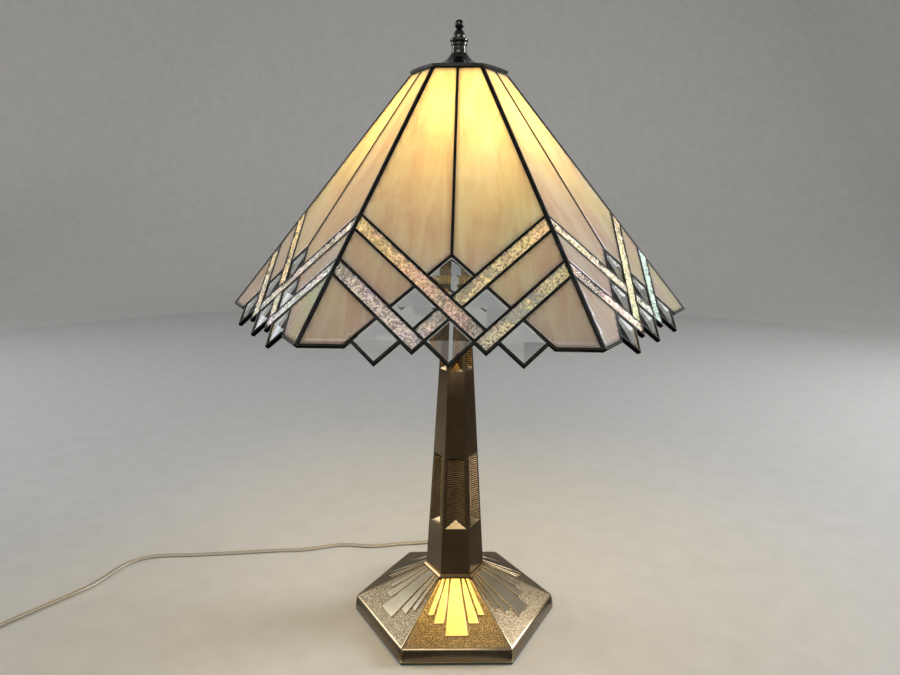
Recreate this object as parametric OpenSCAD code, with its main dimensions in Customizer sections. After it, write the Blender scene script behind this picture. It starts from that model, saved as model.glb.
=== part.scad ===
// Stained glass table lamp: six leaded panels on a tapered brass column.
// Millimetres, +Z up, origin at the centre of the foot's underside.
// The flat front of the foot and the front panel of the shade face -Y.

/* [Shade] */
// Width of the shade across its lower corners
shade_w = 457; // [440:1:470]
// Width of the glass across the corners at the top ring
shade_top_w = 88; // [86:1:92]
// Height of the glass from its lower edge to the top ring
shade_h = 224; // [220:1:230]
// Height of the shade's lower edge above the table
shade_z = 344; // [342:1:346]
// Angle that the shade is turned on its rod
shade_turn = -3.3; // [-30:0.1:30]

/* [Leaded pattern] */
// Spacing of the lead lines on either side of a bevelled diamond
bevel_pitch = 26.4; // [25:0.1:27]
// Spacing of the lead lines on either side of a woven band
band_pitch = 12.7; // [11:0.1:13]
// Height of the top diamond's lowest corner, measured up the panel
weave_y = 41.6; // [40:0.1:44]
// Thickness of the sheet glass
glass_t = 3; // [2:0.5:3.5]
// Rise of a bevelled diamond from its edge to its point
bevel_rise = 1.9; // [1:0.1:3]
// Width of the lead lines
lead_w = 2.6; // [2:0.1:3]
// Depth of the lead lines
lead_t = 4.4; // [4:0.1:5]

/* [Foot] */
// Width of the foot across its lower corners
foot_w = 223; // [215:1:230]
// Height of the foot's rim, felt included
foot_rim_h = 16.6; // [15:0.1:18]
// Height of the foot under the column
foot_h = 54; // [52:1:56]
// How far the sunburst stands above the hammered ground
ray_rise = 1.4; // [1:0.1:2]

/* [Column] */
// Width across the corners at the column's lower end
column_w = 62.6; // [60:0.1:66]
// Width across the corners at the column's upper end
column_top_w = 28.6; // [28:0.1:32]
// Width of the plain strips beside the recesses
pilaster_w = 2.8; // [2:0.1:4]

/* [Light cluster] */
// Distance of each socket from the rod
socket_x = 38; // [36:1:40]
// Angle of the pair of sockets about the rod
cluster_turn = -30; // [-60:1:60]
// Radius of the bulbs
bulb_r = 27; // [24:1:28]

/* [Cord] */
// Width of the flat two-core cord
cord_w = 5.6; // [5:0.1:6]
// Thickness of the cord
cord_t = 3; // [2.6:0.1:3.2]

/* [Hidden] */
$fn = 64;
sq2 = sqrt(2);
clear = 0.05;

shade_r = shade_w / 2;
shade_top_r = shade_top_w / 2;
shade_top_z = shade_z + shade_h;
panel_half = shade_r / 2;
panel_top_half = shade_top_r / 2;
panel_run = (shade_r - shade_top_r) * cos(30);
panel_len = norm([panel_run, shade_h]);
panel_slope = atan2(shade_h, panel_run);
side_lean = atan2(panel_half - panel_top_half, panel_len);
corner_rise = atan2(shade_h, shade_r - shade_top_r);
corner_len = norm([shade_r - shade_top_r, shade_h]);
// Half the angle between the normals of two neighbouring panels
fold = acos(0.5 * pow(sin(panel_slope), 2) + pow(cos(panel_slope), 2)) / 2;
// Half width of a corner seam, and of all the lead at a corner
seam_half = 1.1;
corner_half = 2;
// Sideways shift of the panel's border for the wider lead at the corners
border_shift = (corner_half - lead_w / 2) / cos(side_lean);

// Lead lines of the weave: distances from the panel's lower middle, at 45 degrees
l1 = weave_y / sq2;
l0 = l1 + bevel_pitch;
l2 = l1 - band_pitch;
l3 = l2 - bevel_pitch;
l4 = l3 - band_pitch;
l5 = l4 - bevel_pitch;

foot_r = foot_w / 2;
felt_t = 2;
foot_top_r = 32.5;
foot_rim_r = foot_r - 2.3;
face_run = (foot_rim_r - foot_top_r) * cos(30);
face_len = norm([face_run, foot_h - foot_rim_h]);
face_slope = atan2(foot_h - foot_rim_h, face_run);
cord_exit_z = 7.5;

column_z = foot_h + 3.5;
column_top_z = 342;
column_r = column_w / 2;
column_top_r = column_top_w / 2;
tier_z = [109, 187, 279, 337];

crown_z = column_top_z;
neck_z = crown_z + 6;
cup_z = neck_z + 23;
pipe_r = 4.9;
pipe_top_z = 400;
rod_r = 3.175;
arm_root_z = 388;
arm_end_z = 408;
socket_z = 414;
knob_z = 430;
bulb_z = 438;
bulb_mid_z = 507;
cap_z = shade_top_z + 1.3;
finial_z = 589.6;

coil_r = 33.6;
coil_at = [-540, -47];
// The coil is two turns wide and three layers high
coil_half = cord_w + 0.2;
coil_h = 3 * cord_t + 0.6;
plug_x = coil_at.x - coil_r - 3;
// Route of the cord from the strain relief to the coil
cord_route = [
    [0, 120, 7.5], [0, 126, 6.6], [-3, 134, 4.6], [-9, 141, 2.9], [-18, 146, 1.8], [-33, 147, 1.5],
    [-50, 145, 1.5], [-69, 143, 1.5], [-90, 139, 1.5], [-108, 137, 1.5], [-128, 140, 1.5],
    [-148, 141, 1.5], [-173, 134, 1.5], [-198, 128, 1.5], [-224, 127, 1.5], [-262, 123, 1.5],
    [-300, 119, 1.5], [-336, 116, 1.5], [-366, 115, 1.5], [-386, 111, 1.5], [-402, 101, 1.5],
    [-412, 87, 1.5], [-418, 70, 1.5], [-427, 48, 1.5], [-440, 29, 1.5], [-455, 11, 1.5],
    [-471, -9, 1.5], [-487, -30, 1.5], [-500, -50, 1.5], [-508, -65, 1.5]
];

// ---- Outline helpers ----

// Corner b of a path a-b-c, moved inward by ta from edge a-b and by tc from edge b-c
function moved_corner(a, b, c, ta, tc) =
    let (
        u = (b - a) / norm(b - a),
        v = (c - b) / norm(c - b),
        turn = u.x * v.y - u.y * v.x
    )
    b + (ta * v - tc * u) / turn;

// A counter-clockwise outline with edge i moved inward by t, or by t[i]
function inset(p, t) =
    let (n = len(p))
    [for (i = [0:n - 1])
        moved_corner(p[(i + n - 1) % n], p[i], p[(i + 1) % n],
            is_list(t) ? t[(i + n - 1) % n] : t, is_list(t) ? t[i] : t)];

// The same outline mirrored about the panel's middle line
function mirrored(p) = [for (i = [len(p) - 1:-1:0]) [-p[i].x, p[i].y]];

// ---- Panel pattern, in the panel's own plane ----

// Crossing of the falling line at distance s and the rising line at distance d
function crossing(s, d) = [(s - d) / sq2, (s + d) / sq2];

border_low = [-panel_half + border_shift, 0];
border_high = [-panel_top_half + border_shift, panel_len];

// Crossing of the falling line at distance s and the left border
function on_border(s) =
    let (step = border_high - border_low)
    border_low + step * (s * sq2 - border_low.x - border_low.y) / (step.x + step.y);

opal_half = [
    [[0, panel_len], border_high, on_border(l1), crossing(l1, l0), crossing(l0, l0)],
    [on_border(l2), on_border(l3), crossing(l3, l0), crossing(l2, l0)],
    [on_border(l4), border_low, [-l0 * sq2, 0], crossing(l4, l0)]
];
opal_panes = concat(opal_half, [for (p = opal_half) mirrored(p)]);

long_band = [on_border(l1), on_border(l2), crossing(l2, l3), crossing(l1, l3)];
cut_band = [on_border(l1), on_border(l2), crossing(l2, l1), crossing(l1, l1)];
link_band = [crossing(l2, l1), crossing(l3, l1), crossing(l3, l2), crossing(l2, l2)];
low_band = [on_border(l3), on_border(l4), crossing(l4, l2), crossing(l3, l2)];
band_panes = [long_band, low_band, link_band, mirrored(cut_band), mirrored(low_band)];

m0 = (l0 + l1) / 2;
m1 = (l2 + l3) / 2;
m2 = (l4 + l5) / 2;
bevel_centres = [
    crossing(m0, m0), crossing(m1, m0), crossing(m0, m1),
    crossing(m2, m0), crossing(m0, m2), crossing(m1, m1)
];
// Distance from a bevelled diamond's centre to its corners
bevel_r = (bevel_pitch - lead_w) / sq2;

lower_half = [
    [-panel_half, 0], [-l0 * sq2, 0], crossing(l5, l0), crossing(l5, l1), crossing(l4, l1),
    crossing(l4, l2), crossing(l3, l2)
];
panel_outline = concat(lower_half, [crossing(l3, l3)], mirrored(lower_half),
    [[panel_top_half, panel_len], [-panel_top_half, panel_len]]);
outline_shift = [for (i = [0:len(panel_outline) - 1])
    i < 14 ? -lead_w / 2 : i == 15 ? 0 : seam_half];

// ---- Shade ----

module on_panel(k) {
    rotate([0, 0, shade_turn + 60 * (k - 1)])
        translate([0, -shade_r * cos(30), shade_z])
            rotate([panel_slope, 0, 0])
                mirror([k % 2 == 0 ? 1 : 0, 0, 0])
                    children();
}

module panel_lead(k) {
    color("#2c2e2b") on_panel(k) translate([0, 0, -lead_t / 2]) linear_extrude(lead_t)
        difference() {
            polygon(inset(panel_outline, outline_shift));
            for (p = concat(opal_panes, band_panes))
                polygon(inset(p, lead_w / 2));
            for (c = bevel_centres)
                translate(c) circle(r = bevel_r, $fn = 4);
        }
}

module panel_sheets(k, panes) {
    on_panel(k) translate([0, 0, -glass_t / 2]) linear_extrude(glass_t)
        for (p = panes)
            polygon(inset(p, lead_w / 2));
}

module panel_opal(k) {
    color("#d9bd84") panel_sheets(k, opal_panes);
}

module panel_bands(k) {
    color("#b9b6ae") panel_sheets(k, band_panes);
}

module panel_bevels(k) {
    color("#dfe6e6", 0.5) on_panel(k)
        for (c = bevel_centres)
            translate([c.x, c.y, -glass_t / 2]) {
                cylinder(h = glass_t - 0.6, r = bevel_r, $fn = 4);
                translate([0, 0, glass_t - 0.6])
                    cylinder(h = bevel_rise, r1 = bevel_r, r2 = 0, $fn = 4);
            }
}

// Six solder seams that fill the corners between the panels
module shade_seams() {
    half = lead_t / 2;
    out_x = seam_half * cos(fold) + half * sin(fold);
    out_y = half * cos(fold) - seam_half * sin(fold);
    in_x = seam_half * cos(fold) - half * sin(fold);
    in_y = -half * cos(fold) - seam_half * sin(fold);
    color("#2c2e2b")
        for (k = [0:5])
            rotate([0, 0, shade_turn + 60 * k + 30]) translate([0, -shade_r, shade_z])
                rotate([corner_rise, 0, 0]) rotate([-90, 0, 0])
                    linear_extrude(corner_len - 3)
                        polygon([[in_x, -in_y], [out_x, -out_y], [0.7, -out_y - 1], [-0.7, -out_y - 1],
                            [-out_x, -out_y], [-in_x, -in_y]]);
}

module shade_spider() {
    ring_r = 41.5;
    ring_h = 9;
    hub_h = 7;
    color("#8a7a4c") translate([0, 0, cap_z - 0.1]) rotate([0, 0, shade_turn]) mirror([0, 0, 1]) {
        difference() {
            cylinder(h = ring_h, r = ring_r, $fn = 6);
            translate([0, 0, -1]) cylinder(h = ring_h + 2, r = ring_r - 2.4, $fn = 6);
        }
        difference() {
            union() {
                cylinder(h = hub_h, r = 8);
                for (a = [-90, 30, 150])
                    rotate([0, 0, a]) translate([7, -2, 1]) cube([28, 4, 3]);
            }
            translate([0, 0, -1]) cylinder(h = hub_h + 2, r = rod_r + clear);
        }
    }
}

module vase_cap() {
    rim_r = 47;
    bell = [
        [7.3, 20.2], [7.5, 18.4], [8.6, 16.6], [10.8, 13.9], [13.6, 11.4], [17, 9.3], [21, 7.5],
        [26, 5.9], [32, 4.5], [39, 3.2], [48, 2.2]
    ];
    color("#3a3c39") translate([0, 0, cap_z]) rotate([0, 0, shade_turn]) difference() {
        union() {
            intersection() {
                rotate_extrude() polygon(concat([[3.4, 20.2]], bell, [[48, 0.8]],
                    [for (i = [len(bell) - 2:-1:2]) bell[i] - [1, 1.2]], [[6, 18.6], [3.4, 18.6]]));
                cylinder(h = 30, r = rim_r, $fn = 6);
            }
            difference() {
                cylinder(h = 2.2, r = rim_r, $fn = 6);
                translate([0, 0, -1]) cylinder(h = 5, r = 38);
            }
        }
        for (a = [22.5:45:360])
            rotate([0, 0, a]) translate([20, 0, 0]) cylinder(h = 14, r = 2.3);
    }
}

module finial() {
    ball_r = 4.6;
    ball_z = 23.8;
    ball = [for (a = [-60:15:75]) [ball_r * cos(a), ball_z + ball_r * sin(a)]];
    color("#4a4c4d") translate([0, 0, finial_z]) rotate_extrude() polygon(concat(
        [[rod_r + clear, 0], [7.2, 0], [7.2, 0.9], [6.8, 1.3], [6.8, 4.4], [7.9, 5.2], [7.9, 7.2],
            [7.2, 7.8], [8.8, 9], [8.8, 10.4], [8, 11.2], [6.2, 11.4], [6, 14], [4.8, 17], [3.2, 19]],
        ball, [[0, ball_z + ball_r], [0, 13.2], [rod_r + clear, 13]]));
}

module riser_rod() {
    color("#9a8548") {
        translate([0, 0, pipe_top_z + 1]) cylinder(h = finial_z + 12 - pipe_top_z - 1, r = rod_r);
        translate([0, 0, cap_z - 14]) cylinder(h = 6.7, r = 6.5, $fn = 6);
    }
}

// ---- Foot ----

module face_tool(i) {
    rotate([0, 0, 60 * i]) translate([0, -foot_rim_r * cos(30), foot_rim_h])
        rotate([face_slope, 0, 0]) children();
}

// Outline of the right half's rays, measured up the sloping face
ray_outlines = [
    [[-11.5, 12.5], [11.5, 12.5], [5, face_len - 1], [-5, face_len - 1]],
    [[12.3, 25.3], [23, 25.3], [9.8, face_len - 1], [6, face_len - 1]],
    [[22.6, 34.2], [29, 34.2], [14.3, face_len - 1], [10.8, face_len - 1]]
];

module base_casting() {
    wall = 3;
    boss_z = 18.5;
    color("#a3895a") difference() {
        union() {
            difference() {
                union() {
                    translate([0, 0, felt_t])
                        cylinder(h = foot_rim_h - felt_t, r1 = foot_r, r2 = foot_rim_r, $fn = 6);
                    translate([0, 0, foot_rim_h - 0.01])
                        cylinder(h = foot_h - foot_rim_h + 0.01, r1 = foot_rim_r, r2 = foot_top_r, $fn = 6);
                    for (i = [0:5])
                        face_tool(i) translate([0, 0, -0.5]) linear_extrude(ray_rise + 0.5) {
                            polygon(ray_outlines[0]);
                            for (r = [1, 2]) {
                                polygon(ray_outlines[r]);
                                polygon(mirrored(ray_outlines[r]));
                            }
                        }
                }
                translate([0, 0, felt_t - 1])
                    cylinder(h = foot_rim_h - wall - felt_t + 1, r = foot_rim_r - 1.5 * wall, $fn = 6);
                translate([0, 0, foot_rim_h - wall - 0.01])
                    cylinder(h = foot_h - foot_rim_h - 1, r1 = foot_rim_r - 1.5 * wall, r2 = foot_top_r,
                        $fn = 6);
            }
            translate([0, 0, boss_z]) cylinder(h = foot_h - boss_z - 2, r = 12);
        }
        translate([0, 0, -1]) cylinder(h = foot_h + 2, r = pipe_r + 0.2);
        translate([0, foot_r, cord_exit_z]) rotate([90, 0, 0]) cylinder(h = 40, r = 4);
    }
}

module base_weight() {
    color("#3b3d40") translate([0, 0, felt_t + 0.1]) difference() {
        cylinder(h = 8.8, r = 96, $fn = 6);
        translate([0, 0, -1]) cylinder(h = 11, r = 16);
        translate([-7, 0, -1]) cube([14, 100, 11]);
    }
}

module base_felt() {
    color("#2f4a3a") cylinder(h = felt_t, r = foot_r - 1, $fn = 6);
}

module strain_relief() {
    face_y = foot_r * cos(30);
    color("#d8d4c4") translate([0, 0, cord_exit_z]) rotate([-90, 0, 0]) difference() {
        rotate_extrude() polygon([
            [0, face_y - 9.5], [5, face_y - 9.5], [5, face_y - 7.5], [3.9, face_y - 7],
            [3.9, face_y + 0.4], [5.6, face_y + 0.4], [5.6, face_y + 2.2], [4.6, face_y + 3],
            [3.5, 120], [0, 120]
        ]);
        translate([0, 0, face_y - 12]) cylinder(h = 6, r = 2.6);
    }
}

// ---- Column ----

function column_r_at(z) =
    column_r + (column_top_r - column_r) * (z - column_z) / (column_top_z - column_z);

module column_foot() {
    color("#8f7642") difference() {
        translate([0, 0, foot_h]) {
            cylinder(h = 2, r = 34, $fn = 6);
            translate([0, 0, 2]) cylinder(h = 1.5, r1 = 34, r2 = 32.4, $fn = 6);
        }
        translate([0, 0, foot_h - 1]) cylinder(h = 6, r = pipe_r + 0.2);
    }
}

// V-shaped recess in one face, with a sloping sill and a nearly level head
module recess(low, high) {
    sill_rise = 8;
    head_drop = 1.5;
    low_w = column_r_at(low) / 2 - pilaster_w;
    high_w = column_r_at(high) / 2 - pilaster_w;
    low_y = -column_r_at(low) * cos(30);
    high_y = -column_r_at(high) * cos(30);
    polyhedron(
        points = [
            [-low_w, low_y - 0.6, low], [low_w, low_y - 0.6, low], [0, low_y + 5.5, low + sill_rise],
            [-high_w, high_y - 0.6, high], [high_w, high_y - 0.6, high],
            [0, high_y + 3.6, high - head_drop]
        ],
        faces = [[0, 1, 2], [5, 4, 3], [4, 1, 0], [3, 4, 0], [5, 2, 1], [4, 5, 1], [3, 0, 2], [5, 3, 2]]
    );
}

module column() {
    color("#7d6636") difference() {
        translate([0, 0, column_z])
            cylinder(h = column_top_z - column_z, r1 = column_r, r2 = column_top_r, $fn = 6);
        for (i = [0:5])
            rotate([0, 0, 60 * i]) {
                recess(tier_z[0], tier_z[1]);
                recess(tier_z[2], tier_z[3]);
            }
        translate([0, 0, column_z - 1]) cylinder(h = column_top_z - column_z + 2, r = pipe_r + 0.2);
        translate([0, 0, column_z - 0.01])
            cylinder(h = tier_z[2] + 8 - column_z, r1 = 20.5, r2 = 8.2, $fn = 6);
    }
}

module column_crown() {
    color("#a3895a") difference() {
        translate([0, 0, crown_z]) {
            cylinder(h = 3, r = column_top_r + 1.6, $fn = 6);
            translate([0, 0, 3]) cylinder(h = 3, r1 = column_top_r + 0.6, r2 = 9, $fn = 6);
        }
        translate([0, 0, crown_z - 1]) cylinder(h = 8, r = pipe_r + 0.2);
    }
}

module column_neck() {
    flutes = 14;
    color("#b39a5c") translate([0, 0, neck_z]) difference() {
        cylinder(h = cup_z - neck_z, r = 7);
        translate([0, 0, -1]) cylinder(h = 26, r = pipe_r + 0.2);
        for (i = [0:flutes - 1])
            rotate([0, 0, 360 / flutes * i]) translate([7.5, 0, 2.5])
                cylinder(h = cup_z - neck_z - 5, r = 0.9, $fn = 16);
    }
}

module husk_cup() {
    color("#b39a5c") translate([0, 0, cup_z]) rotate_extrude() polygon([
        [pipe_r + 0.2, 0], [7, 0], [8, 0.8], [9.2, 2.4], [10.2, 4.8], [10.8, 7], [9.8, 7],
        [9.2, 5.2], [8.2, 3.2], [6.8, 1.6], [pipe_r + 0.2, 1.6]
    ]);
}

module centre_pipe() {
    color("#8a7a4c") difference() {
        translate([0, 0, 10]) cylinder(h = pipe_top_z - 10, r = pipe_r);
        translate([0, 0, 9]) cylinder(h = pipe_top_z, r = 3.6);
    }
}

module pipe_nut() {
    color("#8a7a4c") difference() {
        translate([0, 0, 11.5]) {
            cylinder(h = 5.8, r = 9, $fn = 6);
            translate([0, 0, 5.9]) cylinder(h = 1, r = 11);
        }
        translate([0, 0, 10]) cylinder(h = 10, r = pipe_r + clear);
    }
}

module lead_wires() {
    wire_r = 1.1;
    color("#d8d4c4")
        for (x = [-1.3, 1.3]) {
            translate([x, 0, cord_exit_z]) sphere(r = wire_r, $fn = 24);
            translate([x, 0, cord_exit_z]) cylinder(h = pipe_top_z - 14, r = wire_r, $fn = 24);
            translate([x, 0, cord_exit_z]) rotate([-90, 0, 0]) cylinder(h = 89, r = wire_r, $fn = 24);
        }
}

// ---- Light cluster ----

module at_socket(side) {
    rotate([0, 0, cluster_turn]) translate([side * socket_x, 0, 0])
        mirror([side < 0 ? 1 : 0, 0, 0]) children();
}

module cluster_body() {
    color("#a3895a") difference() {
        translate([0, 0, cup_z + 1.6]) rotate_extrude() polygon([
            [0, 0], [6.4, 0], [7.4, 2.2], [8.6, 6.2], [8.6, 23], [10.4, 24.4], [10.4, 26.6],
            [8.8, 28.6], [6.8, 31.6], [5, 33.4], [0, 33.4]
        ]);
        translate([0, 0, cup_z - 1]) cylinder(h = pipe_top_z - cup_z + 1, r = pipe_r + clear);
        translate([0, 0, cup_z]) cylinder(h = 60, r = rod_r + clear);
    }
}

module socket_arms() {
    arm_r = 4.2;
    reach = socket_x - 7;
    rise = arm_end_z - arm_root_z;
    color("#a3895a")
        for (side = [-1, 1])
            at_socket(side) {
                translate([-reach, 0, arm_root_z]) rotate([0, atan2(reach, rise), 0])
                    cylinder(h = norm([reach, rise]), r = arm_r);
                translate([0, 0, arm_end_z]) sphere(r = arm_r + 1.2, $fn = 40);
                translate([0, 0, arm_end_z]) cylinder(h = socket_z - arm_end_z + 3, r = arm_r);
            }
}

module socket_cap() {
    color("#b8a46a") translate([0, 0, socket_z]) rotate_extrude() polygon([
        [4.3, 0], [6.5, 0], [7.2, 1.4], [11, 3], [14.4, 5.6], [16.2, 8.6], [16.6, 12], [15.8, 12],
        [15.3, 9], [13.7, 6.5], [10.5, 4.1], [6.4, 2.8], [4.3, 2.8]
    ]);
}

module socket_shell() {
    color("#b8a46a") difference() {
        translate([0, 0, socket_z + 12]) rotate_extrude() polygon([
            [15.9, 0], [16.7, 0], [16.7, 28], [17.3, 29], [17.3, 31], [16.7, 32], [16.7, 36],
            [15.9, 36]
        ]);
        translate([8, 0, knob_z]) rotate([0, 90, 0]) cylinder(h = 12, r = 2.6);
    }
}

module socket_core() {
    color("#26221e") difference() {
        translate([0, 0, socket_z + 12.2]) {
            cylinder(h = 9.8, r = 15.4);
            cylinder(h = 34, r = 14);
        }
        translate([0, 0, bulb_z - 2.4]) cylinder(h = 40, r = 12.98);
        translate([0, 0, knob_z]) rotate([0, 90, 0]) cylinder(h = 20, r = 2 + clear);
    }
}

module switch_knob() {
    color("#3a2f24") translate([0, 0, knob_z]) rotate([0, 90, 0]) {
        translate([0, 0, 4]) cylinder(h = 22, r = 2);
        translate([0, 0, 20]) cylinder(h = 4, r = 3.6);
        translate([0, 0, 24]) intersection() {
            cylinder(h = 12, r = 6.4);
            translate([-7, -2.1, 0]) cube([14, 4.2, 12]);
        }
    }
}

module bulb_cap() {
    color("#c9c2a8") translate([0, 0, bulb_z - 2]) rotate_extrude() polygon([
        [0, 0], [4.5, 0], [5.5, 1.6], [12.2, 3.6], [12.93, 4.6], [12.93, 25], [11.6, 26], [0, 26]
    ]);
}

module bulb_glass() {
    wall = 0.9;
    low = bulb_z + 24.1 - bulb_mid_z;
    join_a = 32;
    outer = concat([[13.2, low], [13.4, low + 6], [15.6, low + 14], [19.6, low + 22]],
        [for (a = [-join_a:10:88]) bulb_r * [cos(a), sin(a)]], [[0, bulb_r]]);
    inner_r = bulb_r - wall;
    inner = concat([[0, inner_r]], [for (a = [88:-10:-join_a]) inner_r * [cos(a), sin(a)]],
        [[18.7, low + 22.4], [14.7, low + 14.4], [12.4, low + 6.2], [12.2, low]]);
    color("#f6ecd0") translate([0, 0, bulb_mid_z]) rotate_extrude() polygon(concat(outer, inner));
}

// ---- Cord ----

// Point at share t of a span on the smooth curve through p, q, r and s
function spline_point(p, q, r, s, t) =
    0.5 * (2 * q + (r - p) * t + (2 * p - 5 * q + 4 * r - s) * t * t
        + (3 * q - p - 3 * r + s) * t * t * t);

function smooth_route(p) =
    let (n = len(p))
    concat([for (i = [0:n - 2], t = [0, 0.5])
        spline_point(p[max(i - 1, 0)], p[i], p[i + 1], p[min(i + 2, n - 1)], t)], [p[n - 1]]);

// Flat tube of that width and thickness along a path
module tube(path, w, t, sides) {
    n = len(path);
    rings = [for (i = [0:n - 1])
        let (
            ahead = path[min(i + 1, n - 1)] - path[max(i - 1, 0)],
            along = ahead / norm(ahead),
            across = cross(along, [0, 0, 1]) / norm(cross(along, [0, 0, 1])),
            up = cross(across, along)
        )
        for (j = [0:sides - 1])
            path[i] + across * w / 2 * cos(360 * j / sides) + up * t / 2 * sin(360 * j / sides)];
    polyhedron(
        points = rings,
        faces = concat(
            [[for (j = [0:sides - 1]) j]],
            [for (i = [0:n - 2], j = [0:sides - 1], half = [0, 1])
                let (a = i * sides + j, b = i * sides + (j + 1) % sides)
                half == 0 ? [a, a + sides, b + sides] : [a, b + sides, b]],
            [[for (j = [sides - 1:-1:0]) (n - 1) * sides + j]]
        )
    );
}

module cord() {
    color("#c9c5b4") tube(smooth_route(cord_route), cord_w, cord_t, 8);
}

module cord_coil() {
    color("#c9c5b4") translate([coil_at.x, coil_at.y, 0]) rotate_extrude() polygon([
        [coil_r - coil_half, 1.2], [coil_r - coil_half + 1.2, 0], [coil_r + coil_half - 1.2, 0],
        [coil_r + coil_half, 1.2], [coil_r + coil_half, coil_h - 1.2],
        [coil_r + coil_half - 1.2, coil_h], [coil_r - coil_half + 1.2, coil_h],
        [coil_r - coil_half, coil_h - 1.2]
    ]);
}

module cord_tie() {
    color("#1f1f1f") translate([coil_at.x, coil_at.y - coil_r, 0]) difference() {
        translate([-4, -coil_half - 1.6, 0]) cube([8, 2 * coil_half + 3.2, coil_h + 1.4]);
        translate([-5, -coil_half - 0.3, -1]) cube([10, 2 * coil_half + 0.6, coil_h + 1.2]);
    }
}

module plug_body() {
    color("#d8d4c4") translate([plug_x, coil_at.y, 6.2]) {
        translate([0, 15, 0]) rotate([-90, 0, 0]) cylinder(h = 22.1, r1 = 3.4, r2 = 5.4);
        translate([-10.5, 37, -6.2]) cube([21, 26, 12.4]);
    }
}

module plug_blades() {
    color("#c8b06a") translate([plug_x, coil_at.y + 63, 6.2])
        for (x = [-6.35, 6.35])
            translate([x - 0.75, 0, -3.15]) cube([1.5, 16, 6.3]);
}

base_casting();
base_weight();
base_felt();
strain_relief();
column_foot();
column();
column_crown();
column_neck();
husk_cup();
centre_pipe();
pipe_nut();
lead_wires();
cluster_body();
socket_arms();
at_socket(-1) socket_cap();  // socket_cap_left
at_socket(-1) socket_shell();  // socket_shell_left
at_socket(-1) socket_core();  // socket_core_left
at_socket(-1) switch_knob();  // switch_knob_left
at_socket(-1) bulb_cap();  // bulb_cap_left
at_socket(-1) bulb_glass();  // bulb_glass_left
at_socket(1) socket_cap();  // socket_cap_right
at_socket(1) socket_shell();  // socket_shell_right
at_socket(1) socket_core();  // socket_core_right
at_socket(1) switch_knob();  // switch_knob_right
at_socket(1) bulb_cap();  // bulb_cap_right
at_socket(1) bulb_glass();  // bulb_glass_right
riser_rod();
shade_spider();
vase_cap();
finial();
shade_seams();
for (k = [1:6]) {
    panel_lead(k);
    panel_opal(k);
    panel_bands(k);
    panel_bevels(k);
}
cord();
cord_coil();
cord_tie();
plug_body();
plug_blades();
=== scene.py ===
import math

import bmesh
import bpy
from mathutils import Matrix, Vector, noise
from mathutils.geometry import delaunay_2d_cdt


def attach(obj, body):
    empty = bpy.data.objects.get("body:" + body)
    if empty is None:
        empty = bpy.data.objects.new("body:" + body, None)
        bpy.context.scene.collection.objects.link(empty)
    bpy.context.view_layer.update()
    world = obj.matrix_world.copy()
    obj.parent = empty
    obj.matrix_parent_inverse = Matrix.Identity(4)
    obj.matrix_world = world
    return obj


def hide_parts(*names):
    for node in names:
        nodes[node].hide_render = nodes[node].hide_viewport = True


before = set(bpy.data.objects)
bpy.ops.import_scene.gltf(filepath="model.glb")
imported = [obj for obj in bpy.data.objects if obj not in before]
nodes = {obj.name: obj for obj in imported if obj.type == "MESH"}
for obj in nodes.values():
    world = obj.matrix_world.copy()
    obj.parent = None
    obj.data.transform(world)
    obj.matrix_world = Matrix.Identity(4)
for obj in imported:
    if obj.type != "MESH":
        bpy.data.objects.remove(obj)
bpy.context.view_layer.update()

scene = bpy.context.scene

# ---- Sizes, in millimetres unless a name says otherwise ----

MM = 0.001
SQ2 = math.sqrt(2)
COS30 = math.cos(math.radians(30))

SHADE_W, SHADE_TOP_W, SHADE_H, SHADE_Z = 457, 88, 224, 344
SHADE_TURN = -3.3
SHADE_R = SHADE_W / 2
PANEL_HALF, PANEL_TOP_HALF = SHADE_W / 4, SHADE_TOP_W / 4
PANEL_RUN = (SHADE_R - SHADE_TOP_W / 2) * COS30
PANEL_LEN = math.hypot(PANEL_RUN, SHADE_H)
PANEL_SLOPE = math.atan2(SHADE_H, PANEL_RUN)
SIDE_LEAN = math.atan2(PANEL_HALF - PANEL_TOP_HALF, PANEL_LEN)
CORNER_RUN = SHADE_R - SHADE_TOP_W / 2
CORNER_RISE = math.atan2(SHADE_H, CORNER_RUN)
CORNER_LEN = math.hypot(CORNER_RUN, SHADE_H)

BEVEL_PITCH, BAND_PITCH, WEAVE_Y = 26.4, 12.7, 41.6
LEAD_W, LEAD_T, GLASS_T = 2.6, 4.4, 3.0
# The lattice runs almost to the corner, where the bead of solder covers its edge
BORDER_GAP, CORNER_HALF = 0.1, 2.0
# Rounding of the solder along the lead lines, and how much of it the lattice's outer borders have
LEAD_ROUNDING, BORDER_ROUNDING = 1.1, 0.05
# Edges of a panel's outline along its zigzag lower side; three straight borders follow
LOWER_EDGES = 14
# The glass runs this far into the lead
REBATE = 0.35

FOOT_R, FOOT_RIM_R, FOOT_TOP_R = 111.5, 109.2, 32.5
FELT_T, FOOT_RIM_H, FOOT_H = 2.0, 16.6, 54.0
RAY_RISE = 1.4

COLUMN_Z, COLUMN_TOP_Z = 57.5, 342.0
COLUMN_R, COLUMN_TOP_R = 31.3, 14.3
TIERS = ((109.0, 187.0), (279.0, 337.0))
PILASTER_W, SILL_RISE, HEAD_DROP = 2.8, 8.0, 1.5
SILL_DEPTH, HEAD_DEPTH = 5.5, 3.6

SOCKET_X, CLUSTER_TURN, BULB_MID_Z, BULB_R = 38, -30, 507, 27

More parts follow.
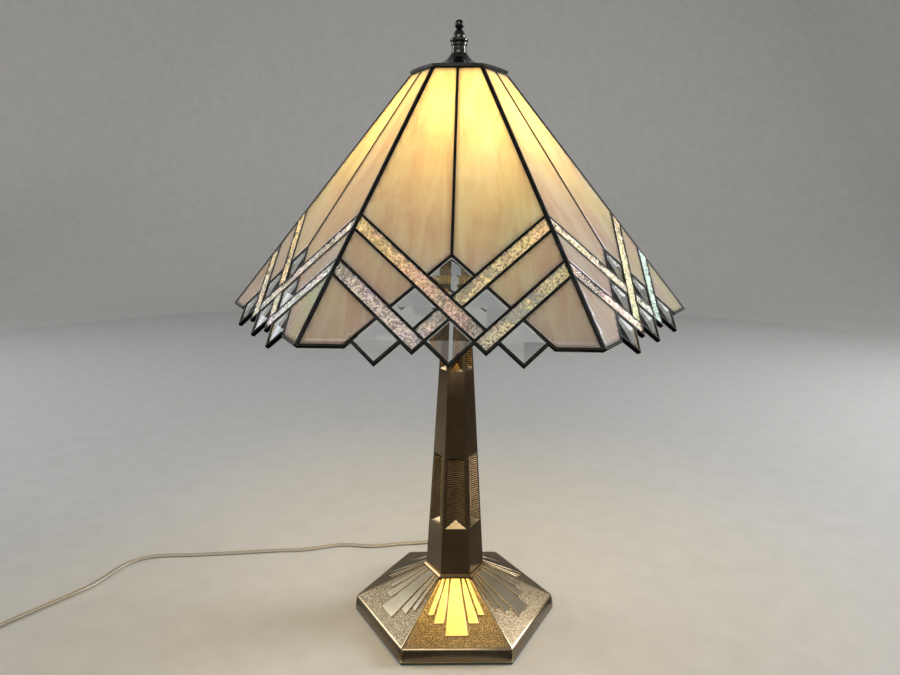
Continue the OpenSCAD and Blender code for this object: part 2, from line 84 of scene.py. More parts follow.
CORD_W, CORD_T, CORD_LEN_M = 5.6, 3.0, 1.8
COIL_X, COIL_Y, COIL_R = -540, -47, 33.6
CORD_ROUTE = [
    (0, 120, 7.5), (0, 126, 6.6), (-3, 134, 4.6), (-9, 141, 2.9), (-18, 146, 1.8), (-33, 147, 1.5),
    (-50, 145, 1.5), (-69, 143, 1.5), (-90, 139, 1.5), (-108, 137, 1.5), (-128, 140, 1.5),
    (-148, 141, 1.5), (-173, 134, 1.5), (-198, 128, 1.5), (-224, 127, 1.5), (-262, 123, 1.5),
    (-300, 119, 1.5), (-336, 116, 1.5), (-366, 115, 1.5), (-386, 111, 1.5), (-402, 101, 1.5),
    (-412, 87, 1.5), (-418, 70, 1.5), (-427, 48, 1.5), (-440, 29, 1.5), (-455, 11, 1.5),
    (-471, -9, 1.5), (-487, -30, 1.5), (-500, -50, 1.5), (-508, -65, 1.5),
]


# ---- Mesh helpers ----

def add_object(name, data):
    """A new object with that data, in the scene."""
    ob = bpy.data.objects.new(name, data)
    scene.collection.objects.link(ob)
    return ob


def mesh_object(name, verts, faces, place=Matrix()):
    """An object from points in millimetres, which place moves to where they belong."""
    mesh = bpy.data.meshes.new(name)
    mesh.from_pydata([(place @ Vector(v)) * MM for v in verts], [], faces)
    mesh.update()
    return add_object(name, mesh)


def tidy_mesh(ob, merge=0.0):
    """Merges doubled points and turns every face outward."""
    bm = bmesh.new()
    bm.from_mesh(ob.data)
    if merge:
        bmesh.ops.remove_doubles(bm, verts=bm.verts, dist=merge * MM)
    bmesh.ops.recalc_face_normals(bm, faces=bm.faces)
    bm.to_mesh(ob.data)
    bm.free()


def circle(radius, z, count):
    """Points of a level circle, counter-clockwise."""
    angles = (2 * math.pi * i / count for i in range(count))
    return [(radius * math.cos(a), radius * math.sin(a), z) for a in angles]


def ring_faces(low, count):
    """Faces between two rings of count points, the first of which starts at point low."""
    return [(low + i, low + count + i, low + count + (i + 1) % count, low + (i + 1) % count)
            for i in range(count)]


def wall_faces(low, count):
    """The same faces as ring_faces, turned the other way."""
    return [(low + i, low + (i + 1) % count, low + count + (i + 1) % count, low + count + i)
            for i in range(count)]


def smooth_faces(ob, angle):
    """Smooth shading, with edges sharper than the angle kept crisp."""
    ob.data.shade_smooth()
    ob.data.set_sharp_from_angle(angle=math.radians(angle))


def soften(ob, width, segments, angle):
    """Rounds the edges sharper than the angle by a width in millimetres, in the second material."""
    bevel = ob.modifiers.new("rounded_edges", "BEVEL")
    bevel.width = width * MM
    bevel.segments = segments
    bevel.limit_method = "ANGLE"
    bevel.angle_limit = math.radians(angle)
    bevel.material = 1


def finish_piece(ob, material, body, slot, *replaced, edges=None):
    """Gives a piece its material and body, and hides the CAD nodes that it replaces. The slot argument is
    not used.
    """
    for look in [material] + ([edges] if edges else []):
        ob.data.materials.append(look)
    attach(ob, body)
    if replaced:
        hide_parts(*replaced)


def rot_z(degrees):
    """A turn about the lamp's axis."""
    return Matrix.Rotation(math.radians(degrees), 4, "Z")


def shift(x, y, z):
    """A move in millimetres."""
    return Matrix.Translation((x, y, z))


# ---- Camera ----

def make_camera():
    """The camera at the photograph's place, looking slightly down at the lamp."""
    place = Vector((-20.0, -693.9, 454.5)) * MM
    yaw, pitch, roll = (math.radians(a) for a in (1.084, 11.667, 0.377))
    ahead = Vector((math.sin(yaw) * math.cos(pitch), math.cos(yaw) * math.cos(pitch), -math.sin(pitch)))
    right = Vector((math.cos(yaw), -math.sin(yaw), 0))
    up = right.cross(ahead)
    turned_right = right * math.cos(roll) + up * math.sin(roll)
    turned_up = up * math.cos(roll) - right * math.sin(roll)
    data = bpy.data.cameras.new("camera")
    data.sensor_width = 36
    data.lens = 27.4
    data.clip_start, data.clip_end = 0.05, 50
    camera = add_object("camera", data)
    axes = Matrix((turned_right, turned_up, -ahead)).transposed().to_4x4()
    camera.matrix_world = Matrix.Translation(place) @ axes
    scene.camera = camera


# ---- Stage ----

def make_floor():
    """A pale floor that curves up into a round wall, in metres."""
    radius, bend, top, turns = 3.0, 0.7, 2.6, 96
    profile = [(radius - bend, 0.0)]
    profile += [(radius - bend + bend * math.sin(a), bend * (1 - math.cos(a)))
                for a in (math.radians(x) for x in range(10, 91, 10))]
    profile.append((radius, top))
    verts = [(0, 0, 0.0)]
    for r, z in profile:
        verts += circle(r, z, turns)
    faces = [(0, 1 + i, 1 + (i + 1) % turns) for i in range(turns)]
    for row in range(len(profile) - 1):
        faces += ring_faces(1 + row * turns, turns)
    mesh = bpy.data.meshes.new("floor")
    mesh.from_pydata(verts, [], faces)
    floor = add_object("floor", mesh)
    mesh.shade_smooth()
    material, tree = new_material("floor_paint")
    grain = noise_texture(tree, object_coords(tree), 30, 3)
    colour = ramp(tree, grain, [(0.3, (0.60, 0.585, 0.56)), (0.7, (0.64, 0.625, 0.60))])
    principled(tree, Base_Color=colour, Roughness=0.55)
    mesh.materials.append(material)


def make_dark_reflection_card():
    """A dark round card on the floor, hidden from the camera and from light and seen only in the metal: a
    painted dark reflection that gives polished brass its depth.
    """
    turns, near, far, height = 64, 0.118, 2.2, 0.0004
    mesh = bpy.data.meshes.new("dark_reflection_card")
    mesh.from_pydata(circle(near, height, turns) + circle(far, height, turns), [], ring_faces(0, turns))
    card = add_object("dark_reflection_card", mesh)
    card.visible_camera = card.visible_diffuse = card.visible_shadow = False
    card.visible_transmission = card.visible_volume_scatter = False
    material, tree = new_material("dark_reflection_paint")
    principled(tree, Base_Color=(0.022, 0.015, 0.014), Roughness=0.4)
    mesh.materials.append(material)


def make_world():
    """A faint cool light from all round."""
    world = bpy.data.worlds.new("world")
    scene.world = world
    world.use_nodes = True
    background = world.node_tree.nodes["Background"]
    background.inputs[0].default_value = (0.93, 0.96, 1.0, 1)
    background.inputs[1].default_value = 0.2


def area_light(name, place, target, size, watts, colour):
    """A soft rectangular light at a place, aimed at a target, in metres."""
    data = bpy.data.lights.new(name, "AREA")
    data.shape = "RECTANGLE"
    data.size, data.size_y = size
    data.energy = watts
    data.color = colour
    light = add_object(name, data)
    light.location = place
    light.rotation_euler = (Vector(target) - Vector(place)).to_track_quat("-Z", "Y").to_euler()
    light.visible_camera = False


def make_lights():
    """Soft daylight from both sides and the front, and a warm light in each bulb."""
    middle = (0, 0, 0.3)
    turn = math.radians(CLUSTER_TURN)
    area_light("window_left", (-1.9, 0.7, 1.2), middle, (1.0, 1.5), 15, (0.90, 0.95, 1.0))
    area_light("door_right", (2.0, 0.3, 1.1), middle, (0.8, 1.5), 38, (0.95, 0.97, 1.0))
    area_light("front_soft", (-0.5, -2.0, 1.7), middle, (1.8, 1.2), 13, (1.0, 0.96, 0.90))
    for side in (-1, 1):
        data = bpy.data.lights.new("bulb_light", "POINT")
        data.energy = 0.85
        data.color = (1.0, 0.75, 0.22)
        data.shadow_soft_size = (BULB_R - 2) * MM
        light = add_object("bulb_light", data)
        reach = side * SOCKET_X * MM
        light.location = (reach * math.cos(turn), reach * math.sin(turn), BULB_MID_Z * MM)
        light.visible_camera = False


# ---- Material helpers ----

def new_material(name):
    """An empty material and its node tree."""
    material = bpy.data.materials.new(name)
    material.use_nodes = True
    material.node_tree.nodes.clear()
    return material, material.node_tree


def feed(tree, socket, value):
    """Links a socket to another node's output, or sets it to a value."""
    if isinstance(value, bpy.types.NodeSocket):
        tree.links.new(value, socket)
    elif isinstance(value, tuple) and len(value) == 3 and socket.type == "RGBA":
        socket.default_value = (*value, 1)
    else:
        socket.default_value = value


def add_node(tree, kind, settings=None, **inputs):
    """A shader node, with its settings and its inputs, with an underscore for each space in their names."""
    made = tree.nodes.new("ShaderNode" + kind)
    for key, value in (settings or {}).items():
        setattr(made, key, value)
    for key, value in inputs.items():
        feed(tree, made.inputs[key.replace("_", " ")], value)
    return made


def object_coords(tree, scale=(1, 1, 1)):
    """The piece's own coordinates, stretched by scale."""
    coords = add_node(tree, "TexCoord").outputs["Object"]
    return add_node(tree, "Mapping", Vector=coords, Scale=scale).outputs[0]


def uv_coords(tree, scale=(1, 1, 1)):
    """A glass sheet's own coordinates, in metres, stretched by scale."""
    coords = add_node(tree, "UVMap", {"uv_map": "sheet"}).outputs[0]
    return add_node(tree, "Mapping", Vector=coords, Scale=scale).outputs[0]


def noise_texture(tree, vector, scale, detail=2, roughness=0.5, distortion=0.0):
    """Cloudy noise, from 0 to 1."""
    return add_node(tree, "TexNoise", Vector=vector, Scale=scale, Detail=detail, Roughness=roughness,
                    Distortion=distortion).outputs["Fac"]


def ramp(tree, fac, stops):
    """A colour ramp through the stops, each a place and a colour or a grey."""
    made = add_node(tree, "ValToRGB", Fac=fac)
    elements = made.color_ramp.elements
    while len(elements) < len(stops):
        elements.new(0.5)
    for element, (place, colour) in zip(elements, stops):
        element.position = place
        element.color = (*colour, 1) if isinstance(colour, tuple) else (colour, colour, colour, 1)
    return made.outputs[0]


def maths(tree, operation, a, b=0.0, c=0.0):
    """The result of a Math node."""
    made = add_node(tree, "Math", {"operation": operation})
    for socket, value in zip(made.inputs, (a, b, c)):
        feed(tree, socket, value)
    return made.outputs[0]


def mix_colour(tree, fac, a, b, blend="MIX"):
    """Two colours blended: all a where fac is 0."""
    made = add_node(tree, "Mix", {"data_type": "RGBA", "blend_type": blend})
    for socket, value in zip((made.inputs[0], made.inputs[6], made.inputs[7]), (fac, a, b)):
        feed(tree, socket, value)
    return made.outputs[2]


def spread_of(tree, fac, low, high):
    """A 0 to 1 value spread between low and high."""
    return add_node(tree, "MapRange", Value=fac, To_Min=low, To_Max=high).outputs[0]


def bump(tree, height, distance_mm, strength):
    """A normal that follows a height."""
    return add_node(tree, "Bump", Height=height, Distance=distance_mm * MM, Strength=strength).outputs[0]


def to_output(tree, shader):
    """Makes a shader the material's surface."""
    out = tree.nodes.new("ShaderNodeOutputMaterial")
    tree.links.new(shader, out.inputs["Surface"])


def principled(tree, connect=True, **inputs):
    """A Principled shader, which is the material's surface unless connect is off."""
    made = add_node(tree, "BsdfPrincipled", **inputs)
    if connect:
        to_output(tree, made.outputs[0])
    return made.outputs[0]


def mix_shaders(tree, fac, a, b):
    """Two shaders mixed: all a where fac is 0."""
    made = add_node(tree, "MixShader")
    for socket, value in zip(made.inputs, (fac, a, b)):
        feed(tree, socket, value)
    return made.outputs[0]


def add_shaders(tree, a, b):
    """Two shaders added together."""
    made = add_node(tree, "AddShader")
    for socket, value in zip(made.inputs, (a, b)):
        feed(tree, socket, value)
    return made.outputs[0]


# ---- Materials ----

def metal(name, dark, light, rough, scale, bump_mm):
    """A metal with a mottled patina, fine scratches in its roughness and a slightly uneven surface."""
    material, tree = new_material(name)
    coords = object_coords(tree)
    patches = noise_texture(tree, coords, scale, 4, 0.6)
    colour = ramp(tree, patches, [(0.3, dark), (0.7, light)])
    fine = noise_texture(tree, object_coords(tree, (1, 1, 6)), scale * 14, 2)
    roughness = spread_of(tree, fine, rough - 0.06, rough + 0.06)
    surface = bump(tree, noise_texture(tree, coords, scale * 3, 3), bump_mm, 0.5)
    principled(tree, Base_Color=colour, Metallic=1.0, Roughness=roughness, Normal=surface)
    return material


def plastic(name, dark, light, rough, **extra):
    """Moulded plastic or rubber with a faint grain."""
    scale = 80
    material, tree = new_material(name)
    coords = object_coords(tree)
    colour = ramp(tree, noise_texture(tree, coords, scale, 3), [(0.3, dark), (0.7, light)])
    roughness = spread_of(tree, noise_texture(tree, coords, scale * 8, 2), rough - 0.06, rough + 0.06)
    surface = bump(tree, noise_texture(tree, coords, scale * 12, 2), 0.03, 0.5)
    principled(tree, Base_Color=colour, Roughness=roughness, Normal=surface, **extra)
    return material


def opal_material():
    """Streaky opalescent sheet: milky, warm where light comes through, with a faint pearly sheen."""
    material, tree = new_material("opal_glass")
    wisps = noise_texture(tree, uv_coords(tree, (1.0, 0.16, 1)), 70, 6, 0.68, 1.2)
    mottle = noise_texture(tree, uv_coords(tree, (1.0, 0.6, 1)), 38, 5, 0.66, 0.8)
    clouds = noise_texture(tree, uv_coords(tree, (1.0, 0.45, 1)), 9, 3, 0.5, 0.3)
    streaks = maths(tree, "MULTIPLY_ADD", wisps, 0.45, maths(tree, "MULTIPLY", mottle, 0.3))
    blend = maths(tree, "MULTIPLY_ADD", clouds, 0.25, streaks)
    through = ramp(tree, blend, [(0.36, (0.93, 0.74, 0.55)), (0.45, (0.97, 0.85, 0.68)),
                                 (0.51, (0.99, 0.93, 0.74)), (0.60, (1.0, 0.98, 0.88))])
    milk = ramp(tree, blend, [(0.38, (0.50, 0.45, 0.39)), (0.47, (0.62, 0.57, 0.50)),
                              (0.54, (0.70, 0.68, 0.58)), (0.62, (0.79, 0.77, 0.71))])
    ripple = noise_texture(tree, uv_coords(tree, (1.0, 0.5, 1)), 60, 3, 0.55)
    surface = bump(tree, ripple, 0.25, 0.35)
    pearl = noise_texture(tree, uv_coords(tree, (1.0, 0.4, 1)), 16, 3, 0.6, 0.8)
    tint = ramp(tree, pearl, [(0.34, (0.70, 1.0, 0.80)), (0.43, (1.0, 0.95, 0.55)),
                              (0.52, (1.0, 0.66, 0.80)), (0.62, (0.80, 0.74, 1.0))])
    glow = add_node(tree, "BsdfTranslucent", Color=through, Normal=surface).outputs[0]
    face = principled(tree, False, Base_Color=milk, Roughness=0.3, Normal=surface)
    body = mix_shaders(tree, 0.46, glow, face)
    gloss = add_node(tree, "BsdfGlossy", Color=tint, Roughness=0.22, Normal=surface).outputs[0]
    facing = add_node(tree, "LayerWeight", Blend=0.25, Normal=surface).outputs["Fresnel"]
    share = spread_of(tree, facing, 0.07, 0.75)
    to_output(tree, mix_shaders(tree, share, body, gloss))
    return material


def band_material():
    """Clear hammered glass with an oil-on-water lustre, each strip in its own tint."""
    material, tree = new_material("band_glass")
    own = add_node(tree, "Attribute", {"attribute_name": "tint"}).outputs["Color"]
    cells = noise_texture(tree, uv_coords(tree), 75, 4, 0.6, 1.0)
    lustre = ramp(tree, cells, [(0.32, (0.50, 0.78, 0.60)), (0.42, (0.98, 0.86, 0.50)),
                                (0.50, (0.88, 0.86, 0.80)), (0.58, (0.94, 0.66, 0.72)),
                                (0.68, (0.64, 0.60, 0.88))])
    colour = mix_colour(tree, 0.7, lustre, own)
    # Facets about a millimetre wide, each catching more or less light
    facets = add_node(tree, "TexVoronoi", Vector=uv_coords(tree), Scale=760)
    catch = add_node(tree, "SeparateColor", Color=facets.outputs["Color"]).outputs[0]
    sparkle = ramp(tree, catch, [(0.0, 0.30), (0.35, 0.55), (0.62, 0.90), (0.85, 1.0)])
    grain = noise_texture(tree, uv_coords(tree), 430, 4, 0.7, 0.6)
    flecks = ramp(tree, grain, [(0.38, 0.55), (0.48, 0.90), (0.56, 1.0)])
    light = mix_colour(tree, 1.0, sparkle, flecks, "MULTIPLY")
    colour = mix_colour(tree, 1.0, colour, light, "MULTIPLY")
    surface = bump(tree, maths(tree, "ADD", grain, facets.outputs["Distance"]), 0.5, 0.9)
    clear = principled(tree, False, Base_Color=flecks, Roughness=0.06, IOR=1.5,
                       Transmission_Weight=1.0, Normal=surface)
    gloss = add_node(tree, "BsdfGlossy", Color=colour, Roughness=0.12, Normal=surface).outputs[0]
    glow = add_node(tree, "BsdfTranslucent", Color=colour, Normal=surface).outputs[0]
    facing = add_node(tree, "LayerWeight", Blend=0.5, Normal=surface).outputs["Facing"]
    skin = add_shaders(tree, gloss, glow)
    hammered = mix_shaders(tree, spread_of(tree, facing, 0.62, 0.95), clear, skin)
    # Calm patches, where the sheet came out flat and clear
    flat = ramp(tree, noise_texture(tree, uv_coords(tree), 44, 3, 0.65), [(0.54, 0.0), (0.57, 0.8)])
    smooth = principled(tree, False, Base_Color=(0.93, 0.96, 0.90), Roughness=0.08, IOR=1.5,
                        Transmission_Weight=1.0)
    to_output(tree, mix_shaders(tree, flat, hammered, smooth))
    return material


def bevel_material():
    """Clear plate glass."""
    material, tree = new_material("bevel_glass")
    principled(tree, Base_Color=(0.96, 0.985, 0.975), Roughness=0.01, IOR=1.52, Transmission_Weight=1.0)
    return material


def lead_material():
    """Solder with a black patina, worn to a dull bronze in places."""
    material, tree = new_material("patina_lead")
    coords = object_coords(tree)
    patches = noise_texture(tree, coords, 140, 4, 0.6)
    colour = ramp(tree, patches, [(0.3, (0.012, 0.0125, 0.012)), (0.65, (0.034, 0.035, 0.032)),
                                  (0.8, (0.085, 0.073, 0.052))])
    lumps = noise_texture(tree, coords, 420, 2, 0.5)
    surface = bump(tree, lumps, 0.5, 0.6)
    roughness = spread_of(tree, patches, 0.26, 0.48)
    principled(tree, Base_Color=colour, Metallic=0.95, Roughness=roughness, Normal=surface)
    return material


def foot_material():
    """Antique brass, smooth on the rim and beaded on the sloping ground between the rays."""
    material, tree = new_material("foot_brass")
    coords = object_coords(tree)
    patches = noise_texture(tree, coords, 26, 4, 0.6)
    colour = ramp(tree, patches, [(0.3, (0.45, 0.34, 0.205)), (0.7, (0.60, 0.47, 0.295))])
    height = add_node(tree, "SeparateXYZ", Vector=add_node(tree, "TexCoord").outputs["Object"]).outputs[2]
    slope = maths(tree, "GREATER_THAN", height, (FOOT_RIM_H + 0.8) * MM)
    beads = add_node(tree, "TexVoronoi", Vector=coords, Scale=820, Randomness=0.8).outputs["Distance"]
    # The joins between the beads lie lower, and are the brighter metal
    meeting = maths(tree, "MULTIPLY", ramp(tree, beads, [(0.34, 0.0), (0.66, 1.0)]), slope)
    stippled = mix_colour(tree, meeting, (0.13, 0.10, 0.06), colour)
    # The rim is painted much darker than the sloping ground: a painted dark reflection
    rim = ramp(tree, patches, [(0.3, (0.16, 0.12, 0.075)), (0.7, (0.24, 0.19, 0.125))])
    ground = mix_colour(tree, slope, rim, stippled)
    surface = bump(tree, meeting, -0.16, 0.5)
    roughness = maths(tree, "MULTIPLY_ADD", slope, 0.08, spread_of(tree, patches, 0.24, 0.36))
    principled(tree, Base_Color=ground, Metallic=1.0, Roughness=roughness, Normal=surface)
    return material


def cord_material():
    """Clear vinyl over two stranded cores, one tinned and one copper."""
    material, tree = new_material("clear_cord")
    uv = add_node(tree, "UVMap", {"uv_map": "sheet"}).outputs[0]
    parts = add_node(tree, "SeparateXYZ", Vector=uv)
    side = maths(tree, "GREATER_THAN", parts.outputs[0], 0.5)
    core = mix_colour(tree, side, (0.66, 0.64, 0.58), (0.66, 0.50, 0.30))
    lay = maths(tree, "SINE", maths(tree, "MULTIPLY_ADD", parts.outputs[1], 2600,
                                    maths(tree, "MULTIPLY", parts.outputs[0], 26)))
    strands = spread_of(tree, maths(tree, "MULTIPLY_ADD", lay, 0.5, 0.5), 0.62, 1.0)
    colour = mix_colour(tree, 1.0, core, strands, "MULTIPLY")
    surface = bump(tree, lay, 0.12, 0.4)
    principled(tree, Base_Color=colour, Metallic=0.35, Roughness=0.3, Coat_Weight=1.0,
               Coat_Roughness=0.08, Normal=surface)
    return material


def felt_material():
    """Dark green felt."""
    material, tree = new_material("felt")
    coords = object_coords(tree)
    fuzz = noise_texture(tree, coords, 900, 4, 0.7)
    colour = ramp(tree, fuzz, [(0.3, (0.012, 0.03, 0.02)), (0.7, (0.035, 0.075, 0.05))])
    principled(tree, Base_Color=colour, Roughness=0.95, Sheen_Weight=0.4,
               Normal=bump(tree, fuzz, 0.4, 0.8))
    return material


def bulb_material():
    """Frosted glass, lit from inside."""
    material, tree = new_material("bulb_glass")
    frost = noise_texture(tree, object_coords(tree), 200, 3)
    colour = ramp(tree, frost, [(0.3, (1.0, 0.72, 0.16)), (0.7, (1.0, 0.78, 0.22))])
    principled(tree, Base_Color=(0.95, 0.9, 0.8), Roughness=0.4, Emission_Color=colour,
               Emission_Strength=6.0)
    return material


# ---- Shade ----

def on_panel(k):
    """The place of panel k's own plane: x across, y up the slope, z outward."""
    return (rot_z(SHADE_TURN + 60 * (k - 1)) @ shift(0, -SHADE_R * COS30, SHADE_Z)
            @ Matrix.Rotation(PANEL_SLOPE, 4, "X"))


def crossing(s, d):
    """Where the falling line at distance s meets the rising line at distance d."""
    return ((s - d) / SQ2, (s + d) / SQ2)


def inset(points, by):
    """A counter-clockwise outline with edge i moved inward by by[i], or all by one amount."""
    count = len(points)
    amounts = by if isinstance(by, list) else [by] * count
    moved = []
    for i, b in enumerate(points):
        a, c = Vector(points[i - 1]), Vector(points[(i + 1) % count])
        corner = Vector(b)
        u, v = (corner - a).normalized(), (c - corner).normalized()
        turn = u.x * v.y - u.y * v.x
        moved.append(tuple(corner + (amounts[i - 1] * v - amounts[i] * u) / turn))
    return moved


def is_inside(point, outline):
    """Whether a point is inside an outline, by the number of edges to its right."""
    x, y = point
    inside = False
    for i, (bx, by) in enumerate(outline):
        ax, ay = outline[i - 1]
        if (ay > y) != (by > y) and x < ax + (bx - ax) * (y - ay) / (by - ay):
            inside = not inside
    return inside


def mirrored(points):
    """An outline mirrored left to right, still counter-clockwise."""
    return [(-x, y) for x, y in reversed(points)]


BORDER_SHIFT = (CORNER_HALF - LEAD_W / 2) / math.cos(SIDE_LEAN)
BORDER_LOW = Vector((-PANEL_HALF + BORDER_SHIFT, 0))
BORDER_HIGH = Vector((-PANEL_TOP_HALF + BORDER_SHIFT, PANEL_LEN))


def on_border(s):
    """Where the falling line at distance s meets the panel's left border."""
    step = BORDER_HIGH - BORDER_LOW
    return tuple(BORDER_LOW + step * (s * SQ2 - BORDER_LOW.x - BORDER_LOW.y) / (step.x + step.y))


def panel_pattern():
    """The panes' outlines, which meet along the middles of the lead lines, and the panel's own outline."""
    l1 = WEAVE_Y / SQ2
    l0 = l1 + BEVEL_PITCH
    l2 = l1 - BAND_PITCH
    l3 = l2 - BEVEL_PITCH
    l4 = l3 - BAND_PITCH
    l5 = l4 - BEVEL_PITCH
    opal_half = [
        [(0, PANEL_LEN), tuple(BORDER_HIGH), on_border(l1), crossing(l1, l0), crossing(l0, l0)],
        [on_border(l2), on_border(l3), crossing(l3, l0), crossing(l2, l0)],
        [on_border(l4), tuple(BORDER_LOW), (-l0 * SQ2, 0), crossing(l4, l0)],
    ]
    low_band = [on_border(l3), on_border(l4), crossing(l4, l2), crossing(l3, l2)]
    bands = [
        [on_border(l1), on_border(l2), crossing(l2, l3), crossing(l1, l3)],
        low_band,
        [crossing(l2, l1), crossing(l3, l1), crossing(l3, l2), crossing(l2, l2)],
        mirrored([on_border(l1), on_border(l2), crossing(l2, l1), crossing(l1, l1)]),
        mirrored(low_band),
    ]
    m0, m1, m2 = (l0 + l1) / 2, (l2 + l3) / 2, (l4 + l5) / 2
    centres = [crossing(m0, m0), crossing(m1, m0), crossing(m0, m1),
               crossing(m2, m0), crossing(m0, m2), crossing(m1, m1)]
    bevel_r = (BEVEL_PITCH - LEAD_W) / SQ2
    squares = [[(x, y - bevel_r), (x + bevel_r, y), (x, y + bevel_r), (x - bevel_r, y)] for x, y in centres]
    lower = [(-PANEL_HALF, 0), (-l0 * SQ2, 0), crossing(l5, l0), crossing(l5, l1), crossing(l4, l1),
             crossing(l4, l2), crossing(l3, l2)]
    outline = lower + [crossing(l3, l3)] + mirrored(lower)
    outline += [(PANEL_TOP_HALF, PANEL_LEN), (-PANEL_TOP_HALF, PANEL_LEN)]
    moves = [-LEAD_W / 2] * LOWER_EDGES + [BORDER_GAP, 0, BORDER_GAP]
    return {"opal": opal_half + [mirrored(p) for p in opal_half], "bands": bands, "squares": squares,
            "outline": inset(outline, moves)}


PATTERN = panel_pattern()


def for_panel(k, outline):
    """Every second panel is the mirror image."""
    return mirrored(outline) if k % 2 == 0 else outline


def gridded(outline, step):
    """A mesh of square cells of that size, cut to a convex outline. The caller frees it."""
    xs, ys = [p[0] for p in outline], [p[1] for p in outline]
    columns = math.ceil((max(xs) - min(xs)) / step) + 1
    rows = math.ceil((max(ys) - min(ys)) / step) + 1
    bm = bmesh.new()
    points = [[bm.verts.new((min(xs) + i * step, min(ys) + j * step, 0)) for i in range(columns + 1)]
              for j in range(rows + 1)]
    for j in range(rows):
        for i in range(columns):
            bm.faces.new((points[j][i], points[j][i + 1], points[j + 1][i + 1], points[j + 1][i]))
    for i, a in enumerate(outline):
        b = outline[(i + 1) % len(outline)]
        outward = Vector((b[1] - a[1], a[0] - b[0], 0)).normalized()
        bmesh.ops.bisect_plane(bm, geom=bm.verts[:] + bm.edges[:] + bm.faces[:], dist=1e-5,
                               plane_co=(a[0], a[1], 0), plane_no=outward, clear_outer=True)
    return bm


def sheet_glass(name, k, outlines, step, relief, tints=None):
    """Panes of sheet glass cut to their outlines, with a relief over their outer face."""
    verts, faces, places, colours = [], [], [], []
    for index, outline in enumerate(outlines):
        outline = inset(for_panel(k, outline), LEAD_W / 2 - REBATE)
        bm = gridded(outline, step)
        left, right = min(x for x, _ in outline), max(x for x, _ in outline)
        offset = Vector((37.0 * (k * 7 + index), 53.0 * index, 0))
        first = len(verts)
        bm.verts.ensure_lookup_table()
        for v in bm.verts:
            flat = v.co + offset
            verts.append((v.co.x, v.co.y, GLASS_T / 2 + relief(flat)))
            places.append((flat.x * MM, flat.y * MM))
            if tints:
                colours.append(tints(k, index, (v.co.x - left) / (right - left), v.co))
        faces += [tuple(first + v.index for v in f.verts) for f in bm.faces]
        bm.free()
    ob = mesh_object(name, verts, faces, on_panel(k))
    layer = ob.data.uv_layers.new(name="sheet")
    for loop in ob.data.loops:
        layer.data[loop.index].uv = places[loop.vertex_index]
    if tints:
        attribute = ob.data.color_attributes.new(name="tint", type="FLOAT_COLOR", domain="POINT")
        for i, colour in enumerate(colours):
            attribute.data[i].color = (*colour, 1)
    ob.data.shade_smooth()
    thick = ob.modifiers.new("thickness", "SOLIDIFY")
    thick.thickness = GLASS_T * MM
    thick.offset = -1
    return ob


def opal_relief(p):
    """Rolled glass: long shallow waves and a finer ripple."""
    waves = 0.10 * noise.noise(Vector((p.x / 16, p.y / 30, 0)))
    return waves + 0.05 * noise.noise(Vector((p.x / 5, p.y / 8, 3)))


def hammered_relief(p):
    """Round dimples side by side with raised edges between them."""
    near = noise.voronoi(Vector((p.x / 2.3, p.y / 2.3, 0)))[0]
    return 0.8 * min(near[0], 0.75) - 0.3 + 0.22 * noise.noise(Vector((p.x / 1.1, p.y / 1.1, 5)))


# The tints at the left and right end of each strip, for three kinds of panel in turn
BAND_TINTS = [
    [((1.0, 0.80, 0.48), (0.84, 0.66, 0.76)), ((0.86, 0.82, 0.92), (0.88, 0.82, 0.92)),
     ((0.82, 0.84, 0.84), (0.92, 0.82, 0.88)), ((0.78, 0.78, 0.58), (1.0, 0.86, 0.66)),
     ((0.76, 0.78, 0.70), (0.92, 0.86, 0.62))],
    [((0.84, 0.88, 0.52), (0.94, 0.88, 0.66)), ((0.58, 0.88, 0.80), (0.66, 0.90, 0.82)),
     ((0.90, 0.88, 0.78), (0.86, 0.88, 0.80)), ((0.84, 0.82, 0.62), (0.88, 0.84, 0.68)),
     ((0.94, 0.74, 0.76), (0.96, 0.82, 0.70))],
    [((0.82, 0.84, 0.84), (0.88, 0.86, 0.84)), ((0.84, 0.82, 0.92), (0.82, 0.82, 0.86)),
     ((0.90, 0.86, 0.72), (0.92, 0.88, 0.76)), ((0.98, 0.82, 0.46), (0.96, 0.84, 0.58)),
     ((0.94, 0.84, 0.58), (0.88, 0.84, 0.72))],
]


def band_tint(k, index, share, co):
    """Each strip's own tint, drifting slowly along it."""
    left, right = (Vector(colour) for colour in BAND_TINTS[(k - 1) % 3][index])
    drift = noise.noise(Vector((co.x / 22, co.y / 22, k * 3.1 + index)))
    return left.lerp(right, share) + Vector((0.10, -0.04, -0.08)) * drift


def lattice_ring(bm, outline, moves):
    """A rounded rim round one edge of the lattice. Returns its flat front and back loops of points."""
    rounding, arc, half = LEAD_ROUNDING, 4, LEAD_T / 2
    levels = []
    for i in range(arc + 1):
        a = math.pi / 2 * i / arc
        levels.append((rounding * (1 - math.sin(a)), half - rounding * (1 - math.cos(a))))
    levels += [(inward, -z) for inward, z in reversed(levels)]
    loops = []
    for inward, z in levels:
        moved = inset(outline, [move * inward / rounding for move in moves])
        loops.append([bm.verts.new((x, y, z)) for x, y in moved])
    for low, high in zip(loops, loops[1:]):
        for j in range(len(outline)):
            bm.faces.new((low[j - 1], low[j], high[j], high[j - 1]))
    return loops[0], loops[-1]


